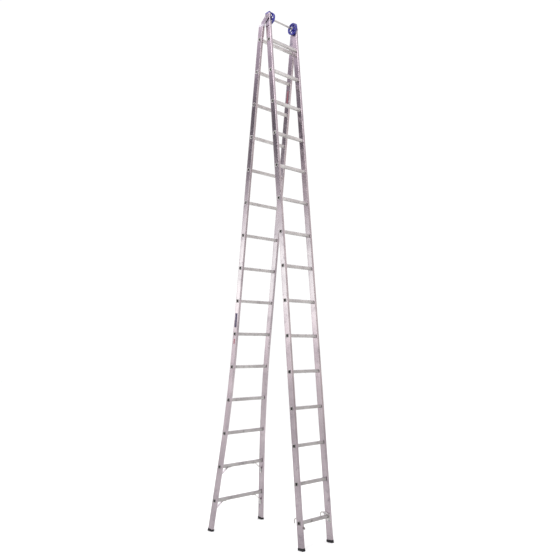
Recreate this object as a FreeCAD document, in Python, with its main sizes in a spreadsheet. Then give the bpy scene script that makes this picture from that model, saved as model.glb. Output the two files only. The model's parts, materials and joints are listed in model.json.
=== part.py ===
import FreeCAD, Part
import Sketcher
import math
import os
from FreeCAD import Placement, Rotation, Vector

# A two-section combination ladder, standing open as an A.
#
# Row frame: X runs along the rungs, Z is up, and the origin is on the floor in
# the middle of the four feet. The wide base section leans towards +Y and its stiles splay outwards at the foot.
# The narrow fly section leans towards -Y and hangs on the hinge bar, whose ends
# sit in open-topped ears on the base section. Millimetres and degrees.
#
# Each section is drawn upright in its own frame, with the hinge bar's axis as
# its X axis and z = 0 at the bar, and then leans about that axis.

doc = FreeCAD.newDocument("extension_ladder")

SIZES = {
    "rung_pitch": 280.0,        # rung to rung, both sections
    "rung_count": 15.0,         # rungs in each section
    "rung_size": 26.0,          # across the square rung tube
    "rung_round": 6.0,          # outside corner radius of the rung tube
    "rung_wall": 2.0,
    "lip_edge": 2.5,            # how far the swaged lip stands round the rung
    "lip_proud": 2.0,           # how far it stands off the stile's outer face
    "stile_depth": 54.0,        # front to back
    "stile_width": 22.0,        # along the rungs
    "stile_round": 4.0,
    "stile_wall": 2.0,
    "base_spacing": 375.0,      # stile centre to stile centre at the top
    "fly_spacing": 312.0,
    "base_lean": 8.58,
    "fly_lean": 3.46,
    "fold_gap": 2.0,            # the folded fly stile to the base rungs
    "hinge_offset": "=stile_depth / 2 + rung_size / 2 + fold_gap",  # bar axis to the base section's mid plane
    "base_top_gap": 192.0,      # bar axis to the base section's first rung
    "fly_top_gap": 200.0,       # bar axis to the fly section's first rung
    "fly_tail": 194.0,          # the fly's last rung to the floor
    "bend_start": 2800.0,       # bar axis to where the base stiles begin to bend
    "bend_radius": 11900.0,
    "splay": 4.9,               # the base stiles' angle below the bend
    "base_stop": 80.0,          # bar axis down to the end of the base tubes
    "base_cap": 18.0,           # the cap's height above the end of the tube
    "fly_cap": 18.0,
    "plug_length": 22.0,        # how deep a cap's plug goes into its tube
    "foot_wall": 3.0,
    "foot_grip": 9.0,           # how far a foot climbs round its stile
    "sole": 10.0,               # the stile's end to the floor
    "bar_diameter": 16.0,
    "bar_bore": 10.0,
    "bar_proud": 2.5,           # how far the bar's end shows outside the ear
    "fly_rise": "=plug_length + bar_diameter / 2 + stile_round",  # bar axis up to the end of the fly tubes
    "run_gap": 0.05,            # radial clearance of a running fit
    "side_gap": 0.5,            # end float between turning pieces
    "ear_plate": 5.0,
    "ear_radius": 24.0,
    "ear_reach": 170.0,         # bar axis down to the end of the ear's plate
    "head_plate": 2.0,
    "head_reach": 80.0,         # bar axis down to the end of the head plate
    "head_band": 18.0,          # height of the head plate's raised band
    "band_proud": 1.2,
    "wheel_diameter": 104.0,
    "wheel_width": 18.0,
    "rim_depth": 9.0,
    "web_thickness": 6.0,
    "hub_diameter": 32.0,
    "wheel_holes": 6.0,
    "wheel_hole": 17.0,
    "hole_circle": 58.0,
    "washer_diameter": 26.0,
    "washer_thickness": 3.0,
    "brace_width": 22.0,
    "brace_thickness": 3.0,
    "brace_drop": 58.0,         # the rung's underside down to the brace's low bend
    "brace_run": 65.0,          # the stile's face in to the brace's high bend
    "brace_tab": 38.0,
    "hook_plate": 5.0,
    "hook_throat": 33.0,
    "hook_bar": 10.0,           # width of the hook's curved arm
    "hook_reach": 50.0,         # how far the hook stands behind the stile
    "rivet_diameter": 6.0,
    "rivet_head": 11.0,
    "head_height": 2.0,
}

sheet = doc.addObject("Spreadsheet::Sheet", "sizes")
for row, (alias, value) in enumerate(SIZES.items(), start=1):
    sheet.set(f"A{row}", alias)
    sheet.set(f"B{row}", str(value))
    sheet.setAlias(f"B{row}", alias)
doc.recompute()

SIDES = {"left": -1, "right": 1}


def size(alias):
    """Reads one size back from the sheet."""
    return float(sheet.get(alias))


def with_sheet(text):
    """Puts the sheet's name before every size's name in a formula."""
    words = []
    word = ""
    for letter in text + " ":
        if letter.isalnum() or letter == "_":
            word += letter
            continue
        words.append(f"sizes.{word}" if word in SIZES else word)
        words.append(letter)
        word = ""
    return "".join(words).strip()


def add(kind, name, formulas=None, **values):
    """Adds one object, with plain values and with formulas in the sheet's sizes."""
    item = doc.addObject(kind, name)
    for key, value in values.items():
        setattr(item, key, value)
    for key, formula in (formulas or {}).items():
        item.setExpression(key, with_sheet(formula))
    return item


def shift(x="0", y="0", z="0"):
    """Formulas for where an object stands."""
    return {"Placement.Base.x": x, "Placement.Base.y": y, "Placement.Base.z": z}


def cut(name, base, tool, **values):
    return add("Part::Cut", name, Base=base, Tool=tool, **values)


def fuse(name, items):
    return add("Part::MultiFuse", name, Shapes=items)


def group(name, items):
    return add("Part::Compound", name, Links=items)


# ---------------------------------------------------------------- outlines

def rounded_rectangle(sketch, across, along, corner):
    """Draws one rounded rectangle about the sketch's origin, tied to the sheet."""
    half_x, half_y, radius = size_of(across) / 2, size_of(along) / 2, size_of(corner)
    ix, iy = half_x - radius, half_y - radius
    first = sketch.GeometryCount
    up = Vector(0, 0, 1)
    quarter = math.pi / 2

    def line(x1, y1, x2, y2):
        sketch.addGeometry(Part.LineSegment(Vector(x1, y1, 0), Vector(x2, y2, 0)), False)

    def arc(x, y, turns):
        circle = Part.Circle(Vector(x, y, 0), up, radius)
        sketch.addGeometry(Part.ArcOfCircle(circle, turns * quarter, (turns + 1) * quarter), False)

    line(-ix, -half_y, ix, -half_y)
    arc(ix, -iy, 3)
    line(half_x, -iy, half_x, iy)
    arc(ix, iy, 0)
    line(ix, half_y, -ix, half_y)
    arc(-ix, iy, 1)
    line(-half_x, iy, -half_x, -iy)
    arc(-ix, -iy, 2)

    bottom, right, top, left = first, first + 2, first + 4, first + 6
    for step in range(8):
        here, after = first + step, first + (step + 1) % 8
        sketch.addConstraint(Sketcher.Constraint("Tangent", here, 2, after, 1))
    for kind, edge in (("Horizontal", bottom), ("Vertical", right), ("Horizontal", top), ("Vertical", left)):
        sketch.addConstraint(Sketcher.Constraint(kind, edge))
    for step in (3, 5, 7):
        sketch.addConstraint(Sketcher.Constraint("Equal", first + 1, first + step))
    tied = (
        (Sketcher.Constraint("Radius", first + 1, radius), corner),
        (Sketcher.Constraint("DistanceX", -1, 1, right, 1, half_x), f"({across}) / 2"),
        (Sketcher.Constraint("DistanceX", left, 1, -1, 1, half_x), f"({across}) / 2"),
        (Sketcher.Constraint("DistanceY", -1, 1, top, 1, half_y), f"({along}) / 2"),
        (Sketcher.Constraint("DistanceY", bottom, 1, -1, 1, half_y), f"({along}) / 2"),
    )
    for constraint, formula in tied:
        index = sketch.addConstraint(constraint)
        sketch.setExpression(f"Constraints[{index}]", with_sheet(formula))


def size_of(formula):
    """Works out a formula in the sheet's sizes for a sketch's first shape."""
    probe = doc.addObject("App::FeaturePython", "probe")
    probe.addProperty("App::PropertyFloat", "result")
    probe.setExpression("result", with_sheet(formula))
    doc.recompute([probe])
    result = probe.result
    doc.removeObject(probe.Name)
    return result


# A sketch's own X and Y go to the row's X and Y for a stile, and to Y and Z for a rung.
ALONG_STILE = Rotation()
ALONG_RUNG = Rotation(Vector(0, 1, 0), Vector(0, 0, 1), Vector(1, 0, 0), "ZXY")


def outline(name, turn, *loops):
    """A sketch of one or two rounded rectangles, given as (across, along, corner)."""
    sketch = add("Sketcher::SketchObject", name, Placement=Placement(Vector(), turn))
    for across, along, corner in loops:
        rounded_rectangle(sketch, across, along, corner)
    return sketch


RUNG_OUTSIDE = ("rung_size", "rung_size", "rung_round")
RUNG_INSIDE = ("rung_size - 2 * rung_wall", "rung_size - 2 * rung_wall", "rung_round - rung_wall")
LIP_OUTSIDE = ("rung_size + 2 * lip_edge", "rung_size + 2 * lip_edge", "rung_round + lip_edge")
STILE_OUTSIDE = ("stile_width", "stile_depth", "stile_round")
STILE_INSIDE = ("stile_width - 2 * stile_wall", "stile_depth - 2 * stile_wall", "stile_round - stile_wall")
FOOT_OUTSIDE = ("stile_width + 2 * foot_wall", "stile_depth + 2 * foot_wall", "stile_round + foot_wall")

rung_tube = outline("rung_tube_outline", ALONG_RUNG, RUNG_OUTSIDE, RUNG_INSIDE)
rung_solid = outline("rung_solid_outline", ALONG_RUNG, RUNG_OUTSIDE)
rung_lip = outline("rung_lip_outline", ALONG_RUNG, LIP_OUTSIDE, RUNG_OUTSIDE)
stile_outside = outline("stile_outside_outline", ALONG_STILE, STILE_OUTSIDE)
stile_inside = outline("stile_inside_outline", ALONG_STILE, STILE_INSIDE)
foot_outside = outline("foot_outline", ALONG_STILE, FOOT_OUTSIDE)


# ---------------------------------------------------------------- the two leans

BAR_HEIGHT = "((fly_top_gap + (rung_count - 1) * rung_pitch + fly_tail) * cos(fly_lean))"
ABOUT_X, ABOUT_Y = Vector(1, 0, 0), Vector(0, 1, 0)
END_ON = Rotation(ABOUT_Y, 90)      # a cylinder lying along the rungs

LEANS = {"base": "base_lean", "fly": "(-fly_lean)"}
MID_PLANE = {"base": "hinge_offset", "fly": "0"}
SPACING = {"base": "base_spacing", "fly": "fly_spacing"}
TOP_GAP = {"base": "base_top_gap", "fly": "fly_top_gap"}
TUBE_TOP = {"base": "(-base_stop)", "fly": "fly_rise"}

# The feet's outermost edges on the floor, in front of and behind the bar, put the origin half way.
HALF_FOOT = "(stile_depth / 2 + foot_wall)"
BASE_EDGE = f"({BAR_HEIGHT} * tan(base_lean) + (hinge_offset + {HALF_FOOT}) / cos(base_lean))"
FLY_EDGE = f"({BAR_HEIGHT} * tan(fly_lean) + {HALF_FOOT} / cos(fly_lean))"
STAND_MIDDLE = f"(({BASE_EDGE} - {FLY_EDGE}) / 2)"


def turn(item, axis, formula):
    """Turns an object about an axis by an angle from the sheet."""
    item.Placement = Placement(item.Placement.Base, Rotation(axis, 1))
    item.setExpression("Placement.Rotation.Angle", with_sheet(formula))


def finish(section, label, item):
    """Leans a finished sub-part with its section and gives it its node's name."""
    turn(item, ABOUT_X, LEANS[section])
    item.setExpression("Placement.Base.y", with_sheet(f"-{STAND_MIDDLE}"))
    item.setExpression("Placement.Base.z", with_sheet(BAR_HEIGHT))
    item.Label = label
    nodes.append(item)
    return item


nodes = []


def floor_distance(section):
    """Down a section's own Z from the bar to the floor, in its mid plane."""
    lean, plane = LEANS[section], MID_PLANE[section]
    return f"(({BAR_HEIGHT} + {plane} * sin({lean})) / cos({lean}))"


def floor_tool(section):
    """Everything under the floor, in the section's own frame."""
    lean, reach, depth = LEANS[section], "(4 * rung_pitch)", "rung_pitch"
    tool = add(
        "Part::Box", f"{section}_floor",
        {
            "Length": f"2 * {reach}", "Width": f"2 * {reach}", "Height": depth,
            "Placement.Base.x": f"-{reach}",
            "Placement.Base.y": f"-{reach} * cos({lean}) - ({depth} + {BAR_HEIGHT}) * sin({lean})",
            "Placement.Base.z": f"{reach} * sin({lean}) - ({depth} + {BAR_HEIGHT}) * cos({lean})",
        },
    )
    turn(tool, ABOUT_X, f"-({lean})")
    return tool


def splay_at(drop):
    """How far a base stile has moved outwards at a distance below the bar."""
    past = f"(({drop}) - bend_start)"
    arc_end = "(bend_radius * sin(splay))"
    bent = f"(bend_radius - sqrt(abs(bend_radius ^ 2 - {past} ^ 2)))"
    straight = f"(bend_radius * (1 - cos(splay)) + ({past} - {arc_end}) * tan(splay))"
    return f"({past} < 0 ? 0 : ({past} < {arc_end} ? {bent} : {straight}))"


def stile_line(section, side, drop):
    """X of a stile's centre line at a distance below the bar."""
    moved = splay_at(drop) if section == "base" else "0"
    return f"({side} * ({SPACING[section]} / 2 + {moved}))"


# ---------------------------------------------------------------- stiles

def extrude(name, sketch, direction, length, formulas=None, both_ways=False):
    """Pushes an outline along a direction into a solid."""
    return add(
        "Part::Extrusion", name, {"LengthFwd": length, **(formulas or {})},
        Base=sketch, DirMode="Custom", Dir=direction, Solid=True, Symmetric=both_ways,
        FaceMakerClass="Part::FaceMakerBullseye",
    )


def stile_path(side):
    """A base stile's centre line: straight, then a wide arc, then straight."""
    top, bend, reach, radius, angle = (
        size_of(formula)
        for formula in ("-base_stop", "-bend_start", f"sole - {floor_distance('base')}", "bend_radius", "splay")
    )
    start_x = side * size_of("base_spacing / 2")
    centre_x = start_x + side * radius
    turned = math.radians(angle)
    end_x = centre_x - side * radius * math.cos(turned)
    end_z = bend - radius * math.sin(turned)
    foot_x = end_x + side * (end_z - reach) * math.tan(turned)
    sketch = add(
        "Sketcher::SketchObject", f"base_path_{'left' if side < 0 else 'right'}",
        shift(y="hinge_offset"), Placement=Placement(Vector(), Rotation(ABOUT_X, 90)),
    )
    circle = Part.Circle(Vector(centre_x, bend, 0), Vector(0, 0, 1), radius)
    if side < 0:
        sweep = (-turned, 0)
    else:
        sweep = (math.pi, math.pi + turned)
    sketch.addGeometry(Part.LineSegment(Vector(start_x, top, 0), Vector(start_x, bend, 0)), False)
    sketch.addGeometry(Part.ArcOfCircle(circle, *sweep), False)
    sketch.addGeometry(Part.LineSegment(Vector(end_x, end_z, 0), Vector(foot_x, reach, 0)), False)
    near, far = (2, 1) if side < 0 else (1, 2)      # the arc's upper and lower ends
    sketch.addConstraint(Sketcher.Constraint("Tangent", 0, 2, 1, near))
    sketch.addConstraint(Sketcher.Constraint("Tangent", 1, far, 2, 1))
    sketch.addConstraint(Sketcher.Constraint("Vertical", 0))
    tied = (
        (Sketcher.Constraint("DistanceX", *((0, 1, -1, 1) if side < 0 else (-1, 1, 0, 1)), abs(start_x)),
         "base_spacing / 2"),
        (Sketcher.Constraint("DistanceY", 0, 1, -1, 1, -top), "base_stop"),
        (Sketcher.Constraint("DistanceY", 0, 2, -1, 1, -bend), "bend_start"),
        (Sketcher.Constraint("DistanceY", 2, 2, -1, 1, -reach), f"{floor_distance('base')} - sole"),
        (Sketcher.Constraint("Radius", 1, radius), "bend_radius"),
        (Sketcher.Constraint("Angle", 2, side * turned - math.pi / 2), f"({side} * splay - 90) * 1 deg"),
    )
    for constraint, formula in tied:
        index = sketch.addConstraint(constraint)
        sketch.setExpression(f"Constraints[{index}]", with_sheet(formula))
    return sketch


def base_stile_solid(name, loop, side, path):
    """Sweeps an outline down a base stile's centre line."""
    section = outline(f"{name}_outline", ALONG_STILE, loop)
    for key, formula in shift(f"{side} * base_spacing / 2", "hinge_offset", "-base_stop").items():
        section.setExpression(key, with_sheet(formula))
    doc.recompute()
    return add(
        "Part::Sweep", name, Sections=[section], Spine=(path, ["Edge1", "Edge2", "Edge3"]), Solid=True, Frenet=False
    )


def fly_stile_solid(name, sketch, side):
    length = f"fly_rise + {floor_distance('fly')} - sole"
    return extrude(name, sketch, Vector(0, 0, -1), length, shift(f"{side} * fly_spacing / 2", "0", "fly_rise"))


stile_outer, stile_hollow = {}, {}
for word, side in SIDES.items():
    path = stile_path(side)
    stile_outer["base", word] = base_stile_solid(f"base_stile_{word}_outer", STILE_OUTSIDE, side, path)
    stile_hollow["base", word] = base_stile_solid(f"base_stile_{word}_hollow", STILE_INSIDE, side, path)
    stile_outer["fly", word] = fly_stile_solid(f"fly_stile_{word}_outer", stile_outside, side)
    stile_hollow["fly", word] = fly_stile_solid(f"fly_stile_{word}_hollow", stile_inside, side)


# ---------------------------------------------------------------- rungs

def rung(section, number):
    """A square tube through both stiles, swaged into a lip against each outer face."""
    drop = f"({TOP_GAP[section]} + {number - 1} * rung_pitch)"
    half = f"({stile_line(section, 1, drop)} + stile_width / 2 + lip_proud)"
    place = shift("0", MID_PLANE[section], f"-{drop}")
    name = f"{section}_rung_{number:02d}"
    tube = extrude(f"{name}_tube", rung_tube, ABOUT_X, f"2 * {half}", place, both_ways=True)
    parts = [tube]
    for word, side in SIDES.items():
        reach = "(stile_width / 2 + lip_proud)"
        centre = stile_line(section, side, drop)
        start = shift(centre, MID_PLANE[section], f"-{drop}")
        ring = extrude(f"{name}_ring_{word}", rung_lip, Vector(side, 0, 0), reach, start)
        parts.append(cut(f"{name}_lip_{word}", ring, stile_outer[section, word]))
    hole = extrude(f"{name}_hole", rung_solid, ABOUT_X, f"2 * ({half} + lip_proud)", place, both_ways=True)
    rung_holes[section].append(hole)
    finish(section, name, fuse(f"{name}_whole", parts))


rung_holes = {"base": [], "fly": []}
for section in rung_holes:
    for number in range(1, int(size("rung_count")) + 1):
        rung(section, number)


# ---------------------------------------------------------------- rivets

rivets = {"base": [], "fly": []}


def rivet(section, name, x, y, z, aim, grip):
    """A rivet whose head sits at a point; its shank goes in along aim, turned about Y from +Z."""
    shank = add(
        "Part::Cylinder", f"{name}_shank", {"Radius": "rivet_diameter / 2", "Height": grip, **shift(x, y, z)}
    )
    back_x, back_z = f"({x}) - head_height * sin({aim})", f"({z}) - head_height * cos({aim})"
    head = add(
        "Part::Cylinder", f"{name}_head",
        {"Radius": "rivet_head / 2", "Height": "head_height", **shift(back_x, y, back_z)},
    )
    for piece in (shank, head):
        turn(piece, ABOUT_Y, aim)
    rivets[section].append(fuse(name, [shank, head]))


# ---------------------------------------------------------------- hinge ears on the base section

INNER_FACE = {
    "base": "(base_spacing / 2 - stile_width / 2)",
    "fly": "(fly_spacing / 2 - stile_width / 2)",
}
LYING = Placement(Vector(), END_ON)     # a cylinder laid along the rungs


def lying_cylinder(name, radius, length, x, y="0", z="0"):
    """A cylinder along X that starts at x."""
    return add("Part::Cylinder", name, {"Radius": radius, "Height": length, **shift(x, y, z)}, Placement=LYING)


def box(name, length, width, height, x, y, z):
    return add("Part::Box", name, {"Length": length, "Width": width, "Height": height, **shift(x, y, z)})


def hinge_ear(word, side):
    """A plate on the stile's inner face whose neck leads out to a round head, slotted from above for the bar."""
    name = f"hinge_ear_{word}"
    low_x = f"({side} * ({INNER_FACE['base']} - ear_plate / 2) - ear_plate / 2)"
    before, through = f"{low_x} - ear_plate", "3 * ear_plate"
    head = lying_cylinder(f"{name}_head", "ear_radius", "ear_plate", low_x)
    shoulder = lying_cylinder(f"{name}_shoulder", "ear_radius", "ear_plate", low_x, "hinge_offset", "-hinge_offset")
    neck = box(
        f"{name}_neck", "ear_plate", "2 * ear_radius", "hinge_offset / cos(45)",
        low_x, "hinge_offset - ear_radius * cos(45)", "-hinge_offset - ear_radius * cos(45)",
    )
    turn(neck, ABOUT_X, "45")
    plate = box(
        f"{name}_plate", "ear_plate", "2 * ear_radius", "ear_reach - hinge_offset",
        low_x, "hinge_offset - ear_radius", "-ear_reach",
    )
    seat = lying_cylinder(f"{name}_seat", "bar_diameter / 2 + run_gap", through, before)
    mouth = box(
        f"{name}_mouth", through, "bar_diameter + 2 * run_gap", "2 * ear_radius",
        before, "-bar_diameter / 2 - run_gap", "0",
    )
    blank = fuse(f"{name}_blank", [head, neck, shoulder, plate])
    finish("base", name, cut(f"{name}_slotted", blank, fuse(f"{name}_slot", [seat, mouth])))
    for spot, (across, down) in enumerate(((-0.5, 0.65), (0.5, 0.65), (-0.5, 0.92), (0.5, 0.92)), start=1):
        rivet(
            "base", f"{name}_rivet_{spot}", f"{side} * ({INNER_FACE['base']} - ear_plate)",
            f"hinge_offset + {across} * ear_radius", f"-{down} * ear_reach",
            f"{side} * 90", "ear_plate + stile_wall",
        )


for word, side in SIDES.items():
    hinge_ear(word, side)


# ---------------------------------------------------------------- braces under the two lowest base rungs

def strip(points, thickness, width, middle_y):
    """A flat strip bent through points in the XZ plane, thickened to the left of its run."""
    offset = []
    for index, here in enumerate(points):
        runs = []
        if index > 0:
            runs.append((here - points[index - 1]).normalize())
        if index < len(points) - 1:
            runs.append((points[index + 1] - here).normalize())
        normals = [Vector(-run.z, 0, run.x) for run in runs]
        mean = normals[0] if len(normals) == 1 else (normals[0] + normals[1]).normalize()
        offset.append(here + mean * (thickness / mean.dot(normals[0])))
    loop = points + offset[::-1]
    face = Part.Face(Part.makePolygon(loop + [loop[0]]))
    face.translate(Vector(0, middle_y - width / 2, 0))
    return face.extrude(Vector(0, width, 0))


def rung_brace(word, side, number):
    """A bent strip from the stile's inner face up to the rung's underside."""
    name = f"rung_brace_{number:02d}_{word}"
    low_tab = "(brace_tab / 2)"
    under = f"(base_top_gap + {number - 1} * rung_pitch + rung_size / 2)"
    bend_drop, end_drop = f"({under} + brace_drop)", f"({under} + brace_drop + brace_tab)"
    face_back = "(stile_width / 2 / cos(splay))"
    bend_x, end_x, face_x = (
        f"({stile_line('base', 1, drop)} - {face_back})" for drop in (bend_drop, end_drop, under)
    )
    high_x = f"({face_x} - brace_run)"
    corners = (
        (end_x, end_drop), (bend_x, bend_drop), (high_x, under), (f"({high_x} - brace_tab)", under),
    )
    points = [Vector(size_of(x), 0, -size_of(drop)) for x, drop in corners]
    shape = strip(points, size("brace_thickness"), size("brace_width"), size("hinge_offset"))
    if side < 0:
        shape = shape.mirror(Vector(), ABOUT_X)
    brace = doc.addObject("Part::Feature", name)
    brace.Shape = shape
    finish("base", name, brace)
    middle = f"({end_drop} - {low_tab})"
    rivet(
        "base", f"{name}_rivet_low",
        f"{side} * ({stile_line('base', 1, middle)} - {face_back} - brace_thickness / cos(splay))",
        "hinge_offset", f"-{middle}", f"{side} * (90 - splay)", "brace_thickness + stile_wall",
    )
    rivet(
        "base", f"{name}_rivet_high", f"{side} * ({high_x} - brace_tab / 2)",
        "hinge_offset", f"-({under} + brace_thickness)", "0", "brace_thickness + rung_wall",
    )


for number in (int(size("rung_count")) - 1, int(size("rung_count"))):
    for word, side in SIDES.items():
        rung_brace(word, side, number)


# ---------------------------------------------------------------- head plates on the fly section

def head_plate(word, side):
    """A flat plate round the bar on the stile's outer face, with a raised band at its foot."""
    name = f"head_plate_{word}"
    outer_face = "(fly_spacing / 2 + stile_width / 2)"
    width = "(stile_depth - stile_round)"
    low_x = f"({side} * ({outer_face} + head_plate / 2) - head_plate / 2)"
    band_thickness = "(head_plate + band_proud)"
    band_x = f"({side} * ({outer_face} + {band_thickness} / 2) - {band_thickness} / 2)"
    plate = box(f"{name}_plate", "head_plate", width, "head_reach + fly_rise", low_x, f"-{width} / 2", "-head_reach")
    band = box(f"{name}_band", band_thickness, width, "head_band", band_x, f"-{width} / 2", "-head_reach")
    hole = lying_cylinder(f"{name}_hole", "bar_diameter / 2 + side_gap", "3 * head_plate", f"{low_x} - head_plate")
    finish("fly", name, cut(f"{name}_drilled", fuse(f"{name}_blank", [plate, band]), hole))
    for spot, across in enumerate((-0.3, 0.3), start=1):
        rivet(
            "fly", f"{name}_rivet_{spot}", f"{side} * ({outer_face} + head_plate)",
            f"{across} * stile_depth", "-(bar_diameter + head_reach - head_band) / 2",
            f"-{side} * 90", "head_plate + stile_wall",
        )


# ---------------------------------------------------------------- rung hooks at the fly section's foot

def hook_outline():
    """The hook's edge in the YZ plane, from the last rung's centre line."""
    half = size("stile_depth") / 2
    throat = size("hook_throat") / 2
    outer = throat + size("hook_bar")
    lip = size("hook_bar") * 1.2        # how far the front ear stands before the stile
    centre = Vector(0, half + size("hook_reach") - outer, size("rung_size") / 4)
    tip = centre.z - 0.45 * outer
    foot = -0.8 * size("stile_depth")
    front_top = size("rung_size") / 2

    def at(y, z):
        return Vector(0, y, z)

    top, rear = at(centre.y, centre.z + outer), at(centre.y + outer, centre.z)
    over = centre + at(outer, outer) / math.sqrt(2)
    rear_tip, throat_tip = at(rear.y, tip), at(centre.y + throat, tip)
    tip_middle = at((rear.y + throat_tip.y) / 2, tip - size("hook_bar") / 2)
    inside, crown = at(throat_tip.y, centre.z), at(centre.y, centre.z + throat)
    front, front_tip = at(centre.y - throat, centre.z), at(centre.y - throat, tip)
    corners = [
        front_tip, at(half, tip - front_top), at(-0.75 * half, foot), at(-half - lip, foot),
        at(-half - lip, foot + front_top), at(-half, foot + 1.6 * front_top), at(-half, front_top),
        at(0.35 * half, top.z), top,
    ]
    edges = [
        Part.Arc(top, over, rear), Part.LineSegment(rear, rear_tip), Part.Arc(rear_tip, tip_middle, throat_tip),
        Part.LineSegment(throat_tip, inside), Part.Arc(inside, crown, front), Part.LineSegment(front, front_tip),
    ]
    edges += [Part.LineSegment(here, after) for here, after in zip(corners, corners[1:])]
    return Part.Wire(Part.__sortEdges__([edge.toShape() for edge in edges]))


def rung_hook(word, side):
    """A plate on the stile's inner face, held by the last rung, ending in a hook behind it."""
    name = f"rung_hook_{word}"
    drop = "(fly_top_gap + (rung_count - 1) * rung_pitch)"
    low_x = size_of(f"{side} * ({INNER_FACE['fly']} - hook_plate / 2) - hook_plate / 2")
    blank = doc.addObject("Part::Feature", f"{name}_blank")
    solid = Part.Face(hook_outline()).extrude(Vector(size("hook_plate"), 0, 0))
    solid.translate(Vector(low_x, 0, -size_of(drop)))
    blank.Shape = solid
    finish("fly", name, cut(f"{name}_plate", blank, rung_holes["fly"][-1]))
    for spot, (across, up) in enumerate(((-0.33, -0.52), (0.33, 0.4)), start=1):
        rivet(
            "fly", f"{name}_rivet_{spot}", f"{side} * ({INNER_FACE['fly']} - hook_plate)",
            f"{across} * stile_depth", f"{up} * stile_depth - {drop}", f"{side} * 90", "hook_plate + stile_wall",
        )


for word, side in SIDES.items():
    head_plate(word, side)
    rung_hook(word, side)

for section, made in rivets.items():
    finish(section, f"{section}_rivets", group(f"{section}_rivets_all", made))


# ---------------------------------------------------------------- stiles, bushes, caps and feet

def stile(section, word, side):
    """A box tube with square holes for its rungs, and on the fly a hole for the bar."""
    name = f"{section}_stile_{word}"
    holes = list(rung_holes[section])
    if section == "fly":
        start = f"{side} * fly_spacing / 2 - stile_width"
        holes.append(lying_cylinder(f"{name}_bar_hole", "bar_diameter / 2 + run_gap", "2 * stile_width", start))
    tube = cut(f"{name}_tube", stile_outer[section, word], stile_hollow[section, word])
    finish(section, name, cut(f"{name}_pierced", tube, group(f"{name}_holes", holes)))


def end_cap(section, word, side):
    """A cap as wide as the stile, with a plug that goes into the tube."""
    name = f"{section}_cap_{word}"
    above = f"{section}_cap"
    place = shift(f"{side} * {SPACING[section]} / 2", MID_PLANE[section], TUBE_TOP[section])
    top = extrude(f"{name}_top", stile_outside, Vector(0, 0, 1), above, place)
    plug = extrude(f"{name}_plug", stile_inside, Vector(0, 0, -1), "plug_length", place)
    finish(section, name, fuse(f"{name}_whole", [top, plug]))


def foot(section, word, side, under_floor):
    """A shoe round the stile's end with its sole flat on the floor."""
    name = f"{section}_foot_{word}"
    drop = f"({floor_distance(section)} - sole - foot_grip)"
    place = shift(stile_line(section, side, drop), MID_PLANE[section], f"-{drop}")
    block = extrude(f"{name}_block", foot_outside, Vector(0, 0, -1), "2 * sole + foot_grip", place)
    if section == "base":
        turn(block, ABOUT_Y, f"-{side} * splay")
    shoe = cut(f"{name}_shoe", block, stile_outer[section, word])
    finish(section, name, cut(f"{name}_trimmed", shoe, under_floor))


for section in rung_holes:
    under_floor = floor_tool(section)
    for word, side in SIDES.items():
        stile(section, word, side)
        end_cap(section, word, side)
        foot(section, word, side, under_floor)

bushes = []
for word, side in SIDES.items():
    hollow = "(stile_width - 2 * stile_wall)"
    start = f"{side} * fly_spacing / 2 - {hollow} / 2"
    sleeve = lying_cylinder(f"bush_{word}_sleeve", "bar_diameter / 2 + stile_round", hollow, start)
    bore = lying_cylinder(f"bush_{word}_bore", "bar_diameter / 2 + run_gap", f"2 * {hollow}", f"{start} - {hollow} / 2")
    bushes.append(cut(f"bush_{word}", sleeve, bore))
finish("fly", "hinge_bushes", group("hinge_bushes_all", bushes))


# ---------------------------------------------------------------- hinge bar, wheels and washers

BAR_HALF = f"({INNER_FACE['base']} + bar_proud)"
bar_tube = lying_cylinder("bar_tube", "bar_diameter / 2", f"2 * {BAR_HALF}", f"-{BAR_HALF}")
bar_bore = lying_cylinder("bar_bore_tool", "bar_bore / 2", f"4 * {BAR_HALF}", f"-2 * {BAR_HALF}")
finish("fly", "hinge_bar", cut("bar_bored", bar_tube, bar_bore))


def ring(name, outer, inner, length, x):
    """A flat ring about the bar that starts at x."""
    disc = lying_cylinder(f"{name}_disc", outer, length, x)
    bore = lying_cylinder(f"{name}_bore", inner, f"3 * ({length})", f"{x} - ({length})")
    return cut(name, disc, bore)


WHEEL_MIDDLE = f"({INNER_FACE['fly']} - 2 * side_gap - washer_thickness - wheel_width / 2)"


def wheel(word, side):
    """A moulded wheel: a rim, a web with round holes, and a hub that turns on the bar."""
    name = f"wheel_{word}"
    low_x, web_x = (
        f"({side} * {WHEEL_MIDDLE} - {width} / 2)" for width in ("wheel_width", "web_thickness")
    )
    bore = "(bar_diameter / 2 + run_gap)"
    rim_inside = "(wheel_diameter / 2 - rim_depth)"
    rim = ring(f"{name}_rim", "wheel_diameter / 2", rim_inside, "wheel_width", low_x)
    web = ring(f"{name}_web", rim_inside, "hub_diameter / 2", "web_thickness", web_x)
    hub = ring(f"{name}_hub", "hub_diameter / 2", bore, "wheel_width", low_x)
    holes = []
    for index in range(int(size("wheel_holes"))):
        angle = f"({index} * 360 / wheel_holes)"
        holes.append(
            lying_cylinder(
                f"{name}_hole_{index + 1}", "wheel_hole / 2", "3 * web_thickness", f"{web_x} - web_thickness",
                f"hole_circle / 2 * cos({angle})", f"hole_circle / 2 * sin({angle})",
            )
        )
    solid = fuse(f"{name}_solid", [rim, web, hub])
    finish("fly", name, cut(f"{name}_pierced", solid, group(f"{name}_holes", holes)))


washers = []
for word, side in SIDES.items():
    wheel(word, side)
    for spot, way in (("outer", 1), ("inner", -1)):
        middle = f"({WHEEL_MIDDLE} + {way} * (wheel_width / 2 + side_gap + washer_thickness / 2))"
        start = f"({side} * {middle} - washer_thickness / 2)"
        washers.append(
            ring(f"washer_{word}_{spot}", "washer_diameter / 2", "bar_diameter / 2", "washer_thickness", start)
        )
finish("fly", "wheel_washers", group("wheel_washers_all", washers))


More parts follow.
